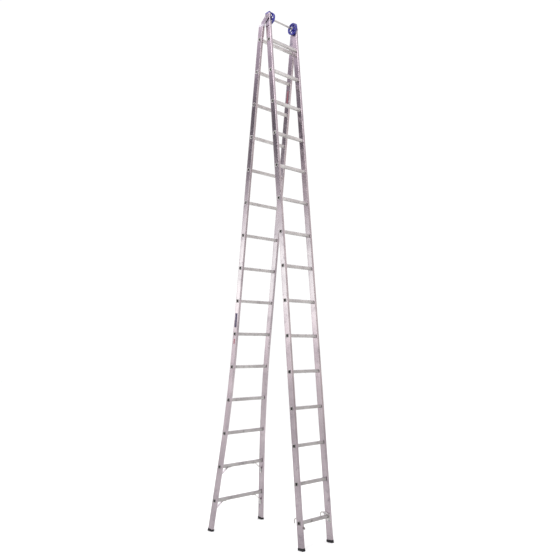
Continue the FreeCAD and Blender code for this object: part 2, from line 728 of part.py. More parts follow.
# ---------------------------------------------------------------- check and write

doc.recompute()
failed = [item.Name for item in doc.Objects if {"Invalid", "Error"} & set(item.State)]
if failed:
    raise RuntimeError(f"objects that failed: {failed}")
for item in nodes:
    if item.Shape.isNull() or not item.Shape.isValid() or not item.Shape.Solids:
        raise RuntimeError(f"{item.Label} has no valid solid")

os.makedirs("parts", exist_ok=True)
for item in nodes:
    item.Shape.exportStep(f"parts/{item.Label}.step")
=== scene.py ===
"""Studio scene of a two-section combination ladder that stands open as an A.

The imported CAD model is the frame. The visible pieces are surfaces worked out around it: tubes
carried down their centre lines, shoes, plugs and a turned bar, and plates whose edges are
softened. A section's sizes are in millimetres in its own frame: x along the rungs, b square to
the section (towards +Y) from its middle plane, and u up the stiles from the hinge bar's axis.
"""

import json
import logging
import math
from dataclasses import dataclass, field
from enum import Enum
from typing import Any, Iterable, Optional, Sequence

import bmesh
import bpy
import numpy as np
from mathutils import Matrix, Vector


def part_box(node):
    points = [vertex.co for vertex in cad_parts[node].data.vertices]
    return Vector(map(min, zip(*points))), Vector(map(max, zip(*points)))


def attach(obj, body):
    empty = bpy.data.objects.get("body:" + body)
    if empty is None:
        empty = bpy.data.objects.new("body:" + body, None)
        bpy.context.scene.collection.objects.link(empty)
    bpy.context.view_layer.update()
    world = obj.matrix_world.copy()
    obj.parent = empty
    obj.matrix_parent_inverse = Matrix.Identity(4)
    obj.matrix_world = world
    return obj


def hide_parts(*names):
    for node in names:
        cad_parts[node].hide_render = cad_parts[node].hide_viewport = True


log = logging.getLogger("ladder")
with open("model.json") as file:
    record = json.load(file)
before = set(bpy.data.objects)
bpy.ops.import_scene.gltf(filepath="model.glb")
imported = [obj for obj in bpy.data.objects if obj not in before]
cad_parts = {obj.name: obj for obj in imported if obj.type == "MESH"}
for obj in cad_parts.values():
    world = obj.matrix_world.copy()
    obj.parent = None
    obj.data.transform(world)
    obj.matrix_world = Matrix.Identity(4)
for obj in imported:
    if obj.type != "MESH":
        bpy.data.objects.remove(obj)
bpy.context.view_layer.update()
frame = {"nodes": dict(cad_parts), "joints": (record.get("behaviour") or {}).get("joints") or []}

MM = 0.001
X_AXIS = np.array([1.0, 0.0, 0.0])
# A colour mix shares its sockets' names with the node's other kinds, so they go by number.
MIX_SHARE, MIX_A, MIX_B, MIX_RESULT = 0, 6, 7, 2


class Side(Enum):
    """An end of the rungs, as the sign of x."""

    LEFT = -1
    RIGHT = 1

    @property
    def word(self) -> str:
        """The side's word in the CAD nodes' names."""
        return self.name.lower()


# ------------------------------------------------------------------ surfaces


def add_object(name: str, data: bpy.types.ID) -> bpy.types.Object:
    """Puts an object into the scene, at the origin.

    Args:
        name: the object's name.
        data: its mesh, light or camera.

    Returns:
        The object.
    """
    made = bpy.data.objects.new(name, data)
    bpy.context.scene.collection.objects.link(made)
    return made


def weld(mesh: bpy.types.Mesh, gap: float, flat_degrees: float = 0.0) -> None:
    """Merges points that coincide and turns every face outwards.

    Args:
        mesh: the mesh.
        gap: points this close are merged, in millimetres.
        flat_degrees: above 0, faces that meet within this angle become one.
    """
    work = bmesh.new()
    work.from_mesh(mesh)
    bmesh.ops.remove_doubles(work, verts=work.verts, dist=gap * MM)
    if flat_degrees:
        angle = math.radians(flat_degrees)
        bmesh.ops.dissolve_limit(work, angle_limit=angle, verts=work.verts, edges=work.edges)
    bmesh.ops.recalc_face_normals(work, faces=work.faces)
    work.to_mesh(mesh)
    work.free()


def shade(piece: bpy.types.Object, sharp_degrees: float) -> None:
    """Smooths a piece's shading but keeps its real edges crisp.

    Args:
        piece: the mesh object.
        sharp_degrees: edges that turn more than this stay sharp.
    """
    mesh = piece.data
    mesh.polygons.foreach_set("use_smooth", np.ones(len(mesh.polygons), bool))
    mesh.set_sharp_from_angle(angle=math.radians(sharp_degrees))
    # An open edge stays sharp too, or a wall thickened later would shade as if it swelled there.
    used, sharp = np.empty(len(mesh.loops), np.int32), np.empty(len(mesh.edges), bool)
    mesh.loops.foreach_get("edge_index", used)
    mesh.edges.foreach_get("use_edge_sharp", sharp)
    mesh.edges.foreach_set("use_edge_sharp", sharp | (np.bincount(used, minlength=len(sharp)) == 1))


def skin(
    name: str,
    points: np.ndarray,
    sharp_degrees: float = 35.0,
    wrap: bool = False,
    drop: Optional[np.ndarray] = None,
) -> bpy.types.Object:
    """Joins a grid of points, a function of two parameters, into a smooth-shaded piece.

    A row's last point always joins its first. A row of equal points is a pole, and is merged.

    Args:
        name: the piece's name.
        points: rows x columns x 3, in metres.
        sharp_degrees: edges that turn more than this stay sharp.
        wrap: True if the last row joins the first.
        drop: which quads to leave open, rows x columns.

    Returns:
        The piece.
    """
    rows, columns = points.shape[:2]
    bands = rows if wrap else rows - 1
    row, column = np.meshgrid(np.arange(bands), np.arange(columns), indexing="ij")
    above, beside = (row + 1) % rows, (column + 1) % columns
    corners = (row, column), (above, column), (above, beside), (row, beside)
    quads = np.stack([r * columns + c for r, c in corners], -1)
    if drop is not None:
        quads = quads[~drop[:bands]]
    mesh = bpy.data.meshes.new(name)
    mesh.from_pydata(points.reshape(-1, 3).tolist(), [], quads.reshape(-1, 4).tolist())
    weld(mesh, 0.004)
    piece = add_object(name, mesh)
    shade(piece, sharp_degrees)
    return piece


def soften(node: str, name: str, width: float, segments: int = 2) -> bpy.types.Object:
    """Copies a CAD part's shape, welds its triangles into plain faces and rounds its edges.

    Args:
        node: the CAD node.
        name: the new piece's name.
        width: how much of each edge is rounded, in millimetres.
        segments: steps across a rounded edge.

    Returns:
        The piece, which stands for the node.
    """
    mesh = frame["nodes"][node].data.copy()
    mesh.materials.clear()
    weld(mesh, 0.005, flat_degrees=0.5)
    piece = add_object(name, mesh)
    bevel = piece.modifiers.new("edges", "BEVEL")
    bevel.width = width * MM
    bevel.segments = segments
    bevel.limit_method = "ANGLE"
    bevel.angle_limit = math.radians(30)
    shade(piece, 35.0)
    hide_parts(node)
    return piece


# ------------------------------------------------------------------ outlines


@dataclass(frozen=True)
class Outline:
    """A closed tube outline: points, the way each one faces, and how deep its grooves are there."""

    points: np.ndarray
    normals: np.ndarray
    inset: np.ndarray

    def at(self, outset: float, grooved: float = 1.0) -> np.ndarray:
        """The outline pushed along its normals by outset, less its grooves' depth.

        Args:
            outset: how far out, in millimetres.
            grooved: the share of the grooves' depth that shows.

        Returns:
            Points x 2.
        """
        return self.points + self.normals * (outset - grooved * self.inset)[:, None]

    def loops(self, rows: Sequence[Sequence[float]]) -> np.ndarray:
        """One loop for each row, which starts with a scale and an outset.

        Args:
            rows: the rows. Values after the second are left to the caller.

        Returns:
            Rows x points x 2.
        """
        return np.stack([row[0] * self.at(row[1]) for row in rows])


def groove(centre: float, half: float, slope: float, depth: float) -> list[tuple[float, float]]:
    """A groove's points (place, inset) along a flat side of an outline.

    Args:
        centre: its middle.
        half: half the width of its floor.
        slope: the width of each slanting side.
        depth: its depth.

    Returns:
        Four points in rising place.
    """
    floor = [(centre - half, depth), (centre + half, depth)]
    return [(centre - half - slope, 0.0), *floor, (centre + half + slope, 0.0)]


def rounded_outline(
    half_a: float,
    half_b: float,
    radius: float,
    runs: Sequence[Sequence[tuple[float, float]]] = ((), (), (), ()),
) -> Outline:
    """A rounded rectangle: a quarter circle at each corner and straight runs between them.

    Args:
        half_a: half its size along the first axis.
        half_b: half its size along the second axis.
        radius: the corner radius.
        runs: for the sides facing +b, -a, -b and +a, the extra points (place, inset) in rising place.

    Returns:
        The outline, anticlockwise from the +a side's upper end.
    """
    points, normals, inset = [], [], []
    turn = np.linspace(0.0, math.pi / 2, 6)
    corners = np.array([(1, 1), (-1, 1), (-1, -1), (1, -1)], float)
    flats = np.array([(0, 1), (-1, 0), (0, -1), (1, 0)], float)
    for quarter, run in enumerate(runs):
        angle = turn + quarter * math.pi / 2
        facing = np.stack([np.cos(angle), np.sin(angle)], -1)
        points.append(corners[quarter] * (half_a - radius, half_b - radius) + radius * facing)
        normals.append(facing)
        inset.append(np.zeros(len(turn)))
        if run:
            # A flat side runs the way that the next one faces.
            flat, onward = flats[quarter], flats[(quarter + 1) % 4]
            place, depth = np.array(run, float).T
            reach = half_b if quarter % 2 == 0 else half_a
            points.append(flat * reach + onward * place[:, None])
            normals.append(np.tile(flat, (len(run), 1)))
            inset.append(depth)
    return Outline(np.concatenate(points), np.concatenate(normals), np.concatenate(inset))


# ------------------------------------------------------------------ finishes


def linear(colour: str) -> tuple[float, float, float, float]:
    """Turns an sRGB hex colour into linear light by undoing the sRGB curve.

    Args:
        colour: such as "#C8C4CA".

    Returns:
        Red, green, blue and alpha.
    """
    channels = [int(colour[place:place + 2], 16) / 255 for place in (1, 3, 5)]
    return (*(c / 12.92 if c <= 0.04045 else ((c + 0.055) / 1.055) ** 2.4 for c in channels), 1.0)


def add_node(
    tree: bpy.types.NodeTree, kind: str, inputs: Optional[dict] = None, **settings: Any
) -> bpy.types.Node:
    """Adds one shader node with its settings, values and links.

    Args:
        tree: the node tree.
        kind: the node's type name.
        inputs: values or output sockets for its inputs, by name or number.
        **settings: the node's own properties.

    Returns:
        The node.
    """
    node = tree.nodes.new(kind)
    for key, value in settings.items():
        setattr(node, key, value)
    for key, value in (inputs or {}).items():
        if isinstance(value, bpy.types.NodeSocket):
            tree.links.new(value, node.inputs[key])
        else:
            node.inputs[key].default_value = value
    return node


def stops(node: bpy.types.Node, colours: Sequence[tuple[float, str]]) -> bpy.types.NodeSocket:
    """Sets a colour ramp's stops.

    Args:
        node: the ramp node.
        colours: pairs of place and hex colour, low to high.

    Returns:
        The ramp's colour output.
    """
    elements = node.color_ramp.elements
    while len(elements) < len(colours):
        elements.new(0.5)
    for element, (place, colour) in zip(elements, colours):
        element.position = place
        element.color = linear(colour)
    return node.outputs["Color"]


def new_material(name: str) -> tuple[bpy.types.Material, bpy.types.Node]:
    """Starts a material and finds its principled shader.

    Args:
        name: the material's name.

    Returns:
        The material and the shader node.
    """
    made = bpy.data.materials.new(name)
    made.use_nodes = True
    return made, next(node for node in made.node_tree.nodes if node.type == "BSDF_PRINCIPLED")


@dataclass(frozen=True)
class Finish:
    """A surface finish: what it is made of, and how its making shows."""

    name: str
    slot: str
    light: str
    dark: str
    mark_and_shade: str                     # the colour of scuffs and grime, and of the painted shade towards the floor
    metallic: float
    roughness: tuple[float, float]
    grain: float                  # size of the fine pattern, in millimetres
    relief: float                 # its depth, in millimetres
    patch: float                  # size of the slow changes in colour, in millimetres
    scuffs: float = 0.4           # how strongly the marks show
    stretch: tuple[float, float, float] = (1.0, 1.0, 1.0)   # below 1 draws the grain out along that axis
    lean: float = 0.0             # degrees about X that stand the stile upright
    specular: float = 0.5
    coat: float = 0.0
    floor_shade: float = 0.0             # how strongly painted shade darkens it towards the floor
    floor_shade_height: float = 1400.0   # where the painted shade ends, in millimetres
    pattern_range: tuple[float, float] = (0.3, 0.7)   # where nearly all of a noise pattern lies
    wear_range: tuple[float, float] = (0.54, 0.68)    # from the first marks to full ones
    wear_size: float = 0.3        # size of the marks against the patches
    worn_gloss: float = 0.25      # how much rougher a full mark is

    def material(self) -> bpy.types.Material:
        """Makes the material: slow patches of colour, fine grain in gloss and relief, scuffs, and painted
        shade that darkens it towards the floor.

        Returns:
            The material.
        """
        made, shader = new_material(self.name)
        tree = made.node_tree
        shader.inputs["Metallic"].default_value = self.metallic
        shader.inputs["Specular IOR Level"].default_value = self.specular
        shader.inputs["Coat Weight"].default_value = self.coat
        place = add_node(tree, "ShaderNodeTexCoord").outputs["Object"]
        turned = {"Vector": place, "Rotation": (math.radians(self.lean), 0.0, 0.0)}
        upright = add_node(tree, "ShaderNodeMapping", turned).outputs["Vector"]
        stretched = {"Vector": upright, "Scale": self.stretch}
        drawn = add_node(tree, "ShaderNodeMapping", stretched).outputs["Vector"]

        def noise(
            vector: bpy.types.NodeSocket, size: float, detail: float, rough: float
        ) -> bpy.types.NodeSocket:
            """A noise pattern of one size in millimetres."""
            inputs = {"Vector": vector, "Scale": 1 / (size * MM), "Detail": detail, "Roughness": rough}
            return add_node(tree, "ShaderNodeTexNoise", inputs).outputs["Fac"]

        def to_range(
            value: bpy.types.NodeSocket, source: tuple[float, float], target: tuple[float, float]
        ) -> bpy.types.NodeSocket:
            """A value mapped from one range to another, and held inside it."""
            ends = zip(("From Min", "From Max", "To Min", "To Max"), (*source, *target))
            return add_node(tree, "ShaderNodeMapRange", {"Value": value, **dict(ends)}).outputs["Result"]

        grain = noise(drawn, self.grain, detail=4.0, rough=0.6)
        slow = noise(upright, self.patch, detail=3.0, rough=0.5)
        wear = noise(upright, self.patch * self.wear_size, detail=9.0, rough=0.74)
        worn = to_range(wear, self.wear_range, (0.0, self.scuffs))
        plain = stops(
            add_node(tree, "ShaderNodeValToRGB", {"Fac": slow}), ((0.32, self.dark), (0.68, self.light))
        )
        # Painted shade: lower down, the colour turns towards the mark colour, so it is darker towards the
        # floor.
        height = add_node(tree, "ShaderNodeSeparateXYZ", {"Vector": place}).outputs["Z"]
        floor_shading = to_range(height, (0.0, self.floor_shade_height * MM), (self.floor_shade, 0.0))
        marks_and_shade = add_node(
            tree, "ShaderNodeMath", {0: worn, 1: floor_shading}, operation="ADD", use_clamp=True
        ).outputs["Value"]
        colours = {MIX_SHARE: marks_and_shade, MIX_A: plain, MIX_B: linear(self.mark_and_shade)}
        scuffed_and_shaded = add_node(tree, "ShaderNodeMix", colours, data_type="RGBA").outputs[MIX_RESULT]
        tree.links.new(scuffed_and_shaded, shader.inputs["Base Color"])
        even = to_range(grain, self.pattern_range, self.roughness)
        gloss = add_node(
            tree, "ShaderNodeMath", {0: worn, 1: self.worn_gloss, 2: even}, operation="MULTIPLY_ADD"
        ).outputs["Value"]
        tree.links.new(gloss, shader.inputs["Roughness"])
        relief = {"Height": grain, "Distance": self.relief * MM, "Strength": 0.7}
        tree.links.new(add_node(tree, "ShaderNodeBump", relief).outputs["Normal"], shader.inputs["Normal"])
        return made


@dataclass(frozen=True)
class Finishes:
    """Every finish on the ladder."""

    # Extruded aluminium, mill finish: fine die lines along the stile, a satin sheen, faint handling marks,
    # and painted shade towards the floor.
    base_stile: Finish = Finish(
        "extruded_aluminium_base", "stile_aluminium", "#BFB4B8", "#A2989D", "#6F6670", 1.0, (0.15, 0.27),
        grain=1.6, relief=0.05, patch=240.0, stretch=(1.0, 1.0, 0.012), lean=8.58, floor_shade=0.35,
    )
    # The same on the fly section, leaning the other way, with the same painted shade towards the floor.
    fly_stile: Finish = Finish(
        "extruded_aluminium_fly", "stile_aluminium", "#BFB4B8", "#A2989D", "#6F6670", 1.0, (0.15, 0.27),
        grain=1.6, relief=0.05, patch=240.0, stretch=(1.0, 1.0, 0.012), lean=-3.46, floor_shade=0.35,
    )
    # The same alloy with its lines along the rungs: duller than the stiles, with grime from boots, and
    # painted shade that darkens the lower rungs.
    rung: Finish = Finish(
        "extruded_aluminium_rung", "rung_aluminium", "#DCDAD8", "#C2BEBD", "#6C6769", 1.0, (0.42, 0.56),
        grain=1.4, relief=0.04, patch=110.0, stretch=(0.02, 1.0, 1.0), scuffs=0.45, floor_shade=0.6,
        floor_shade_height=4200.0,
    )
    # Stamped aluminium plate: even, slightly duller, with fine rolling marks.
    plate: Finish = Finish(
        "stamped_aluminium_plate", "plate_aluminium", "#B9B0B6", "#958C95", "#655C69", 1.0, (0.26, 0.40),
        grain=0.9, relief=0.04, patch=60.0, stretch=(1.0, 0.25, 1.0),
    )
    # Zinc-plated steel: bright grey with cloudy, slightly yellow patches.
    zinc: Finish = Finish(
        "zinc_plated_steel", "zinc_steel", "#C8C5C3", "#A5A1A0", "#7E7668", 1.0, (0.30, 0.44),
        grain=0.7, relief=0.03, patch=34.0, scuffs=0.35,
    )
    # Steel rivets, tumbled: small and dark with a soft sheen.
    rivet: Finish = Finish(
        "tumbled_steel_rivet", "rivet_steel", "#A9A9B2", "#7D7C86", "#4C4A52", 1.0, (0.28, 0.42),
        grain=0.5, relief=0.03, patch=12.0,
    )
    # Injection-moulded polypropylene, royal blue: a fine moulded texture under a semi-gloss skin.
    blue: Finish = Finish(
        "moulded_blue_polypropylene", "blue_plastic", "#23218F", "#17156C", "#6A6AC0", 0.0, (0.20, 0.34),
        grain=0.8, relief=0.04, patch=40.0, scuffs=0.22, coat=0.3,
    )
    # Injection-moulded polyamide, pale grey: satin, a little dusty.
    pale: Finish = Finish(
        "moulded_pale_polyamide", "pale_plastic", "#D8D2DA", "#BDB5C2", "#8A8192", 0.0, (0.42, 0.58),
        grain=0.8, relief=0.05, patch=30.0, scuffs=0.3,
    )
    # Moulded rubber: matt black with a fine grain and grey dust.
    rubber: Finish = Finish(
        "moulded_black_rubber", "black_rubber", "#1E1C20", "#121114", "#4A464C", 0.0, (0.62, 0.80),
        grain=0.9, relief=0.10, patch=26.0, scuffs=0.5, specular=0.35,
    )
    # Printed film on a blank label: smooth, with nothing printed on it.
    label: Finish = Finish(
        "blank_dark_film", "stile_aluminium", "#453B58", "#3A304C", "#6B6180", 0.0, (0.30, 0.40),
        grain=1.2, relief=0.01, patch=30.0, scuffs=0.15,
    )
    red_label: Finish = Finish(
        "blank_red_film", "stile_aluminium", "#93505C", "#7C404C", "#B08890", 0.0, (0.32, 0.44),
        grain=1.2, relief=0.01, patch=30.0, scuffs=0.2,
    )


class Paintbox:
    """Makes each finish's material once and puts it on pieces."""

    def __init__(self) -> None:
        """Starts with no material made."""
        self.made: dict[str, bpy.types.Material] = {}

    def dress(self, piece: bpy.types.Object, finish: Finish, body: str) -> None:
        """Gives a piece its material and the body that it moves with.

        Args:
            piece: the mesh object.
            finish: its finish.
            body: the CAD body's name.
        """
        if finish.name not in self.made:
            self.made[finish.name] = finish.material()
        piece.data.materials.clear()
        piece.data.materials.append(self.made[finish.name])
        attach(piece, body)
        log.info("%s on %s in %s", piece.name, body, finish.name)


# ------------------------------------------------------------------ a ladder section


def middle(node: str) -> np.ndarray:
    """The middle of a CAD node's box."""
    low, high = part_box(node)
    return (np.array(low) + np.array(high)) / 2


@dataclass
class Section:
    """One of the two ladder sections: its own frame, and its stiles, rungs, shoes and caps."""

    word: str
    body: str
    spacing: float                # stile centre to stile centre at the top
    tube_top: float               # the end of the stile tubes, from the bar up
    stile_finish: Finish
    bend_start: float = 1e9       # from the bar down to where the stiles begin to bend outwards
    bend_radius: float = 11900.0
    splay: float = 0.0            # the stiles' angle below the bend, in degrees
    stile_half_depth: float = 27.0
    stile_half_width: float = 11.0
    stile_round: float = 4.0
    stile_wall: float = 2.0
    channel_half: float = 17.6    # half the floor of the channel along both broad faces
    channel_slope: float = 0.7
    channel_depth: float = 1.0
    drawn_wall: float = 1.4       # the stile's wall as drawn, less because the channel sets it inwards
    rung_half: float = 13.0
    rung_round: float = 6.0
    rung_wall: float = 2.0
    rung_lip: float = 2.0         # how far a rung's swaged end stands out of the stile
    rungs: int = 15
    tread_grooves: int = 5        # on the upper and the lower face of a rung
    tread_pitch: float = 2.7
    swell: float = 9.0            # from the stile's inner face to where a rung begins to swell
    sole: float = 10.0
    shoe_wall: float = 3.0
    shoe_grip: float = 9.0
    plug_depth: float = 22.0
    cap_rise: float = 18.0        # a cap's height above the end of its tube
    bar: np.ndarray = field(init=False)
    up: np.ndarray = field(init=False)
    across: np.ndarray = field(init=False)
    offset: float = field(init=False)           # from the bar to the section's middle plane
    heights: np.ndarray = field(init=False)     # each rung's u

    def __post_init__(self) -> None:
        """Finds the section's own directions from its first and last rungs and the hinge bar."""
        self.bar = np.array(next(j for j in frame["joints"] if j["name"] == "fold")["pos_m"], float)
        middles = [middle(f"{self.word}_rung_{number:02d}") for number in range(1, self.rungs + 1)]
        self.up = (middles[0] - middles[-1]) / np.linalg.norm(middles[0] - middles[-1])
        self.across = np.cross(self.up, X_AXIS)
        self.offset = float((middles[0] - self.bar) @ self.across) / MM
        self.heights = np.array([float((point - self.bar) @ self.up) / MM for point in middles])

    def place(self, x: np.ndarray, b: np.ndarray, u: np.ndarray) -> np.ndarray:
        """Puts points given in the section's frame into the scene's: bar + x X + b across + u up.

        Args:
            x: along the rungs, in millimetres.
            b: square to the rungs and stiles, from the section's middle plane.
            u: up the stiles, from the bar.

        Returns:
            Points x 3, in metres.
        """
        x, b, u = np.broadcast_arrays(x, b, u)
        local = x[..., None] * X_AXIS + (b + self.offset)[..., None] * self.across + u[..., None] * self.up
        return self.bar + local * MM

    def spread(self, down: np.ndarray) -> tuple[np.ndarray, np.ndarray]:
        """How far the stiles have spread at a distance below the bar: straight, then an arc, then straight.

        Where the arc has turned by an angle a, with sin a = p / R and p measured from the bend's
        start, the spread is R (1 - cos a). Once a is the splay, the rest of p adds its share times tan a.

        Args:
            down: distances below the bar, in millimetres.

        Returns:
            The spread and the angle of the stile in radians.
        """
        radius, splay = self.bend_radius, math.radians(self.splay)
        past = np.maximum(np.asarray(down, float) - self.bend_start, 0.0)
        turned = np.minimum(past, radius * math.sin(splay))
        angle = np.arcsin(turned / radius)
        return radius * (1 - np.cos(angle)) + (past - turned) * math.tan(splay), angle

    def beside(self, side: Side, out: np.ndarray, u: np.ndarray) -> np.ndarray:
        """The x of points that a level cut through a stile finds: out / cos a from its centre line.

        Args:
            side: which stile.
            out: how far outwards a point of the cross-section is, in millimetres.
            u: its height.

        Returns:
            The x of each point.
        """
        spread, angle = self.spread(-u)
        return side.value * (self.spacing / 2 + spread + out / np.cos(angle))

    def floor_height(self, b: np.ndarray, height: float | np.ndarray) -> np.ndarray:
        """The u at which a line up the section, at b, is a given height above the floor.

        Args:
            b: from the section's middle plane, in millimetres.
            height: above the floor, in millimetres.

        Returns:
            The u of each point.
        """
        level = height - self.bar[2] / MM - (np.asarray(b) + self.offset) * self.across[2]
        return level / self.up[2]

    def plain_outline(self) -> Outline:
        """The stile's outline without its grooves."""
        return rounded_outline(self.stile_half_width, self.stile_half_depth, self.stile_round)

    def shoe_top(self) -> float:
        """The u of a shoe's upper rim."""
        return float(self.floor_height(np.array(0.0), self.sole)) + self.shoe_grip

    # -------------------------------------------------------------- stiles

    def stile_rows(self, hole: float) -> np.ndarray:
        """Where the stile's cross-sections stand: evenly, and at each rung hole's edges and middle.

        Args:
            hole: half the height of a rung's hole, in millimetres.

        Returns:
            Distances below the bar, rising.
        """
        count, clearance, sole_gap, rounding = 90, 6.0, 1.2, 0.001
        start = -self.tube_top
        ends = self.floor_height(np.array([-1.0, 1.0]) * self.stile_half_depth, self.sole + sole_gap)
        end = -float(np.max(ends))
        edges = np.concatenate([-self.heights - hole, -self.heights + hole])
        even = np.linspace(start, end, count)
        even = even[np.abs(even[:, None] - edges[None, :]).min(1) > clearance]
        down = np.unique(np.round(np.concatenate([edges, -self.heights, [start, end], even]), 4))
        return down[(down > start - rounding) & (down < end + rounding)]

    def stile(self, side: Side) -> bpy.types.Object:
        """A hollow extrusion: an outline with a channel down each broad face, swept down the stile's line.

        Each cross-section stands square to the line. It is x = side (spacing/2 + spread + w cos a),
        u = -down + w sin a, for a point w outwards on the outline and the stile's angle a. The walls
        are open where rungs pass.

        Args:
            side: which stile.

        Returns:
            The piece.
        """
        hole = self.rung_half - 0.3          # so that a rung's lips cover the hole's edge
        channel = groove(0.0, self.channel_half, self.channel_slope, self.channel_depth)
        broad = [*channel[:2], (-hole, self.channel_depth), (hole, self.channel_depth), *channel[2:]]
        narrow = groove(0.0, half=1.6, slope=0.6, depth=0.5)
        outline = rounded_outline(
            self.stile_half_width, self.stile_half_depth, self.stile_round, (narrow, broad, narrow, broad)
        )
        w, b = outline.at(0.0).T
        down = self.stile_rows(hole)
        spread, angle = self.spread(down)
        x = side.value * (self.spacing / 2 + spread[:, None] + w * np.cos(angle)[:, None])
        u = -down[:, None] + w * np.sin(angle)[:, None]
        halfway, near = (down[:-1] + down[1:]) / 2, 0.01
        in_rung = np.abs(halfway[:, None] + self.heights[None, :]).min(1) < hole
        in_wall = (np.abs(b + np.roll(b, -1)) < near) & (np.abs(np.abs(b) - hole) < near)
        drop = in_rung[:, None] & in_wall[None, :]
        points = self.place(x, b[None, :], u)
        piece = skin(f"{self.word}_stile_tube_{side.word}", points, 28.0, drop=drop)
        wall = piece.modifiers.new("wall", "SOLIDIFY")
        wall.thickness = self.drawn_wall * MM
        wall.offset = -1.0
        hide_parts(f"{self.word}_stile_{side.word}")
        return piece

    # -------------------------------------------------------------- rungs

    def rung(self, number: int) -> bpy.types.Object:
        """A square tube with tread grooves, a bead inside each stile and a swaged lip outside it.

        Rows run out along the tube and back through its bore, so the skin is closed. A row's growth
        is how far the outline swells there, and its ends lean with the stile's wall.

        Args:
            number: 1 at the top.

        Returns:
            The piece.
        """
        node = f"{self.word}_rung_{number:02d}"
        low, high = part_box(node)
        height = float(self.heights[number - 1])
        _, angle = self.spread(np.array(-height))
        outer = (high.x - low.x) / 2 / MM - self.rung_lip
        inner = outer - 2 * self.stile_half_width / math.cos(float(angle))
        plain = inner - self.swell
        places = self.tread_pitch * (np.arange(self.tread_grooves) - (self.tread_grooves - 1) / 2)
        tread = [point for place in places for point in groove(place, half=0.6, slope=0.35, depth=0.8)]
        outline = rounded_outline(self.rung_half, self.rung_half, self.rung_round, (tread, (), tread, ()))
        # distance along the rung, growth of the outline, share of the grooves
        end = [
            (plain, 0.0, 1.0), (inner - 5.0, 0.2, 0.5), (inner - 4.0, 1.3, 0.0), (inner - 2.6, 2.0, 0.0),
            (inner - 1.0, 1.8, 0.0), (inner - 0.1, 1.0, 0.0), (inner + 0.3, -0.4, 0.0),
            (outer - 0.3, -0.4, 0.0), (outer + 0.1, 2.0, 0.0), (outer + 0.7, 2.5, 0.0),
            (outer + 1.4, 2.3, 0.0), (outer + 1.9, 1.3, 0.0), (outer + 2.0, 0.2, 0.0),
            (outer + 1.5, -1.3, 0.0), (outer + 0.2, -self.rung_wall, 0.0),
        ]
        bore_end = outer - 14.0
        rows = [(-x, grow, share) for x, grow, share in reversed(end)]
        rows += [(x, 0.0, 1.0) for x in np.linspace(-1, 1, 9)[1:-1] * plain]
        rows += end
        rows += [(x, -self.rung_wall, 0.0) for x in np.linspace(bore_end, -bore_end, 5)]
        along = np.array([row[0] for row in rows])
        loops = np.stack([outline.at(grow, share) for _, grow, share in rows])
        leaning = np.clip((np.abs(along) - plain) / self.swell, 0.0, 1.0) * np.sign(along)
        x = along[:, None] - leaning[:, None] * math.tan(float(angle)) * loops[:, :, 1]
        points = self.place(x, loops[:, :, 0], height + loops[:, :, 1])
        piece = skin(f"{self.word}_rung_tube_{number:02d}", points, wrap=True)
        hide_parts(node)
        return piece

    # -------------------------------------------------------------- shoes and caps

    def shoe(self, side: Side) -> bpy.types.Object:
        """A rubber shoe: a cup round the stile's end with a flat sole and two grooves round its side.

        A row is (scale, outset, height, climb). It is level at the sole, and its u goes over to a
        cross-section square to the stile as climb goes to 1: (1 - climb) floor + climb top.

        Args:
            side: which foot.

        Returns:
            The piece.
        """
        wall, sole = self.shoe_wall, self.sole
        waist = wall - 0.8
        grooves = [
            (1.0, outset, low + rise, 0.0)
            for low in (2.0, 5.0)
            for outset, rise in ((wall, 0.0), (waist, 0.5), (waist, 1.2), (wall, 1.7))
        ]
        rows = [
            (0.0, 0.0, 0.0, 0.0), (0.9, 0.0, 0.0, 0.0), (1.0, wall - 1.4, 0.0, 0.0),
            (1.0, wall - 0.4, 0.4, 0.0), (1.0, wall, 1.3, 0.0), *grooves, (1.0, wall, sole, 0.1),
            (1.0, wall - 0.6, sole, 0.2), (1.0, wall - 0.6, sole, 0.55), (1.0, wall, sole, 0.65),
            (1.0, wall, sole, 0.9), (1.0, wall - 0.7, sole, 1.0), (1.0, 0.05, sole, 1.0),
            (1.0, 0.05, sole, 0.05), (0.0, 0.0, sole, 0.0),
        ]
        loops, table = self.plain_outline().loops(rows), np.array(rows)
        height, climb = table[:, 2:3], table[:, 3:]
        u = (1 - climb) * self.floor_height(loops[:, :, 1], height) + climb * self.shoe_top()
        points = self.place(self.beside(side, loops[:, :, 0], u), loops[:, :, 1], u)
        piece = skin(f"{self.word}_shoe_{side.word}", points, 40.0)
        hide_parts(f"{self.word}_foot_{side.word}")
        return piece

    def plug(self, side: Side, dome: float) -> bpy.types.Object:
        """An end cap: a plug in the tube, a flange over its end and a domed top.

        Args:
            side: which stile.
            dome: how much of the cap's height is the rounded top.

        Returns:
            The piece.
        """
        clearance, crown = 0.15, -5.5            # inside the tube, and the top's outset
        end, inside = self.tube_top, -self.stile_wall - clearance
        flank = self.cap_rise - dome
        # scale, outset and u; the top is a quarter ellipse in outset, then flat to its pole
        rows = [
            (0.0, 0.0, end - self.plug_depth), (1.0, inside - 1.0, end - self.plug_depth),
            (1.0, inside, end - self.plug_depth + 1.0), (1.0, inside, end), (1.0, -0.5, end),
            (1.0, 0.0, end + 0.5), (1.0, 0.0, end + flank * 0.4), (1.0, -0.6, end + flank * 0.46),
            (1.0, -0.6, end + flank * 0.6), (1.0, 0.0, end + flank * 0.66),
        ]
        for turn in np.linspace(0.0, math.pi / 2, 7)[:-1]:
            rows.append((1.0, crown * (1 - math.cos(turn)), end + flank + (dome - 0.6) * math.sin(turn)))
        rows += [(0.45, crown, end + self.cap_rise - 0.15), (0.0, 0.0, end + self.cap_rise)]
        loops = self.plain_outline().loops(rows)
        u = np.array(rows)[:, 2:]
        points = self.place(self.beside(side, loops[:, :, 0], u), loops[:, :, 1], u)
        piece = skin(f"{self.word}_end_plug_{side.word}", points, 30.0)
        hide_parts(f"{self.word}_cap_{side.word}")
        return piece

